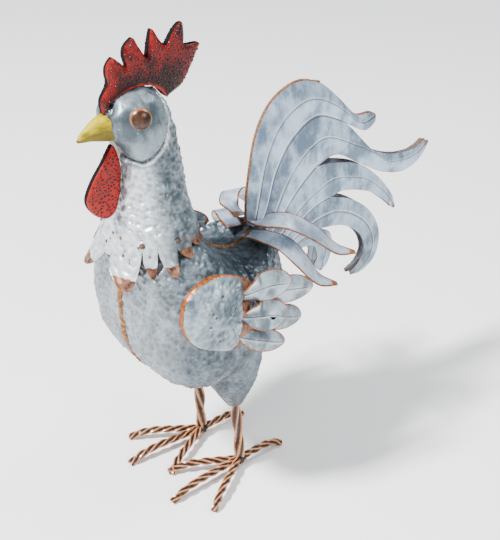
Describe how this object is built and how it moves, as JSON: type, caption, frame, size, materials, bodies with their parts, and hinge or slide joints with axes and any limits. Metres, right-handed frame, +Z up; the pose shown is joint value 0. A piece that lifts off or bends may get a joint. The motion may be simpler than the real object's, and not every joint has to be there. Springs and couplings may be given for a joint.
{
  "type": "rooster statue",
  "caption": "Standing garden rooster of welded, hammered galvanised sheet with red comb and wattle, fanned tail, domed wings and feet of twisted bar.",
  "frame": {"origin": "middle of the bounding box at the ground under the toes", "axes": "+Z up, -Y the way the bird looks, +X its left side"},
  "size_m": [0.1976, 0.4556, 0.514],
  "materials": {
    "galvanised": "hammered galvanised sheet, pale blue-grey, rust at edges and welds",
    "red_enamel": "dark red paint over beaded texture, worn",
    "yellow_paint": "yellow paint with grime at the root",
    "copper_dome": "brown copper coloured dome, satin",
    "twisted_bar": "twisted bar, copper coloured on the ridges and black in the grooves",
    "rivet_steel": "rusted steel"
  },
  "bodies": {
    "root": {"beak": "yellow_paint", "body_left": "galvanised", "body_right": "galvanised", "collar_rivet_front_left": "rivet_steel", "collar_rivet_front_right": "rivet_steel", "collar_rivet_rear_left": "rivet_steel", "collar_rivet_rear_right": "rivet_steel", "comb": "red_enamel", "eye_left": "copper_dome", "eye_right": "copper_dome", "head_and_neck_left": "galvanised", "head_and_neck_right": "galvanised", "leg_left": "twisted_bar", "leg_right": "twisted_bar", "sickle_lower_left": "galvanised", "sickle_lower_right": "galvanised", "sickle_upper_left": "galvanised", "sickle_upper_right": "galvanised", "tail_fan_left": "galvanised", "tail_fan_right": "galvanised", "toe_back_left": "twisted_bar", "toe_back_right": "twisted_bar", "toe_inner_left": "twisted_bar", "toe_inner_right": "twisted_bar", "toe_middle_left": "twisted_bar", "toe_middle_right": "twisted_bar", "toe_outer_left": "twisted_bar", "toe_outer_right": "twisted_bar", "wattle": "red_enamel", "wing_cap_left": "galvanised", "wing_cap_right": "galvanised", "wing_feather_low_left": "galvanised", "wing_feather_low_right": "galvanised", "wing_feather_middle_left": "galvanised", "wing_feather_middle_right": "galvanised", "wing_feather_rear_low_left": "galvanised", "wing_feather_rear_low_right": "galvanised", "wing_feather_rear_top_left": "galvanised", "wing_feather_rear_top_right": "galvanised", "wing_feather_top_left": "galvanised", "wing_feather_top_right": "galvanised"}
  },
  "joints": []
}
